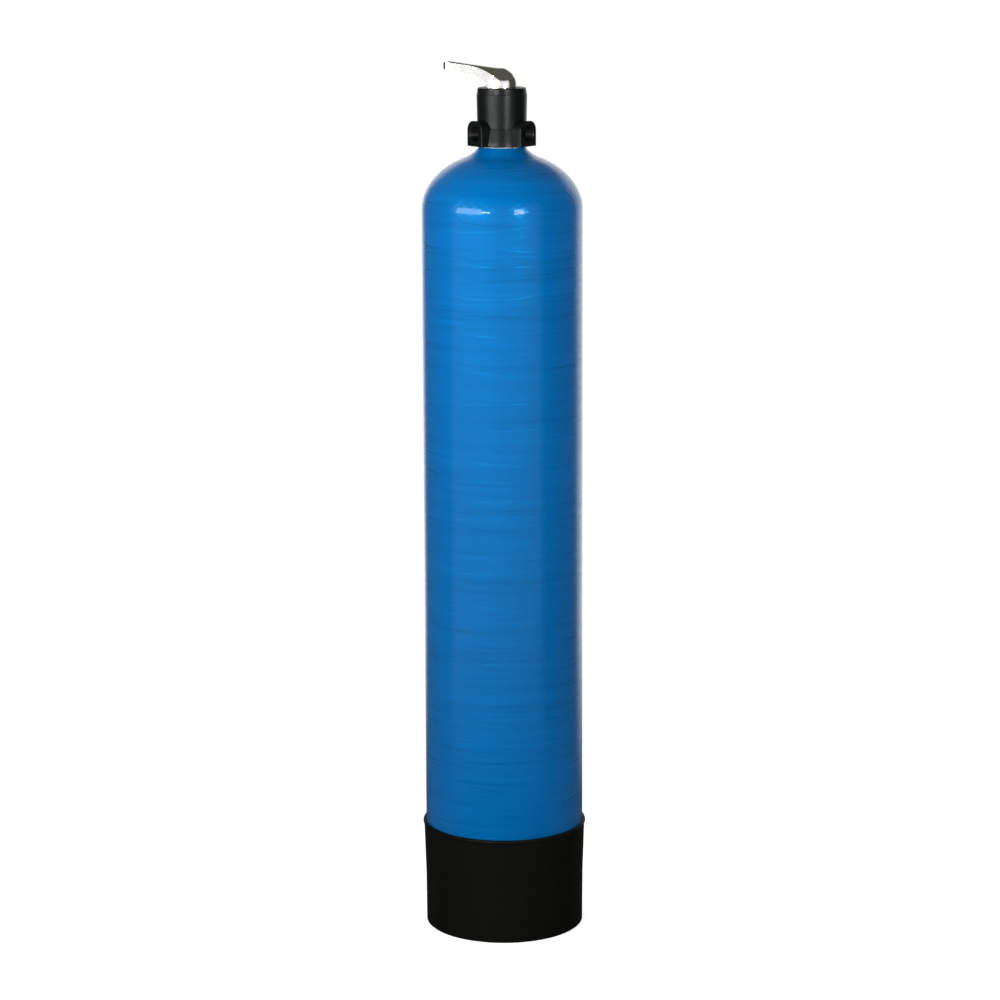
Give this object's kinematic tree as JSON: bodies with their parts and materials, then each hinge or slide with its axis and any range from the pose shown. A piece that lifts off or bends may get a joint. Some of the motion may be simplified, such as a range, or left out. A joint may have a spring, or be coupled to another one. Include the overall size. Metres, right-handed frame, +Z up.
{
  "type": "whole house water filter",
  "caption": "Tall blue wound pressure tank standing in a black boot, with a black selector valve head, threaded ports and a chrome lever, for filtering a house's water supply.",
  "frame": {"origin": "on the floor at the tank's axis", "axes": "+Z up along the tank, +X along the outlet port. Seen from above the drain port stands 110 degrees clockwise from it and the inlet port 125 degrees counter-clockwise"},
  "size_m": [0.32, 0.3198, 1.6975],
  "materials": {
    "blue_winding": "glossy clear-coated wound glass fibre",
    "boot_black": "satin moulded",
    "valve_black": "semi-gloss moulded",
    "lever_chrome": "polished plating",
    "liner_natural": "natural polyethylene",
    "pipe_white": "white pipe",
    "strainer_white": "moulded",
    "gravel": "washed gravel",
    "carbon": "granular",
    "seal_rubber": "smooth",
    "disc_ceramic": "lapped",
    "spindle_brass": "turned",
    "washer_white": "slippery plastic",
    "screw_steel": "plain stainless",
    "index_grey": "satin"
  },
  "bodies": {
    "vessel": {"tank_winding": "blue_winding", "tank_liner": "liner_natural", "neck_insert": "liner_natural", "base_boot": "boot_black", "gravel_bed": "gravel", "filter_media": "carbon", "riser_tube": "pipe_white", "bottom_strainer": "strainer_white", "top_strainer": "strainer_white", "valve_body": "valve_black", "neck_oring": "seal_rubber", "riser_oring": "seal_rubber", "disc_gasket": "seal_rubber", "fixed_disc": "disc_ceramic", "bonnet": "valve_black", "bonnet_oring": "seal_rubber", "index_plate": "index_grey", "bonnet_screws": "screw_steel", "detent_spring": "screw_steel"},
    "selector": {"handle": "lever_chrome", "handle_screw": "screw_steel", "spindle": "spindle_brass", "spindle_orings": "seal_rubber", "thrust_washer": "washer_white", "moving_disc": "disc_ceramic"},
    "detent": {"detent_ball": "screw_steel"}
  },
  "joints": [
    {"name": "handle_turn", "type": "hinge", "parent": "vessel", "child": "selector", "pos_m": [0, 0, 1.648], "axis": [0, 0, 1], "range_deg": [-60, 120]},
    {"name": "detent_click", "type": "slide", "parent": "vessel", "child": "detent", "axis": [0, 0, 1], "range_m": [-0.0008, 0], "stiffness_N_per_m": 1500, "springref_m": 0.001, "deforming": ["detent_spring"]}
  ]
}
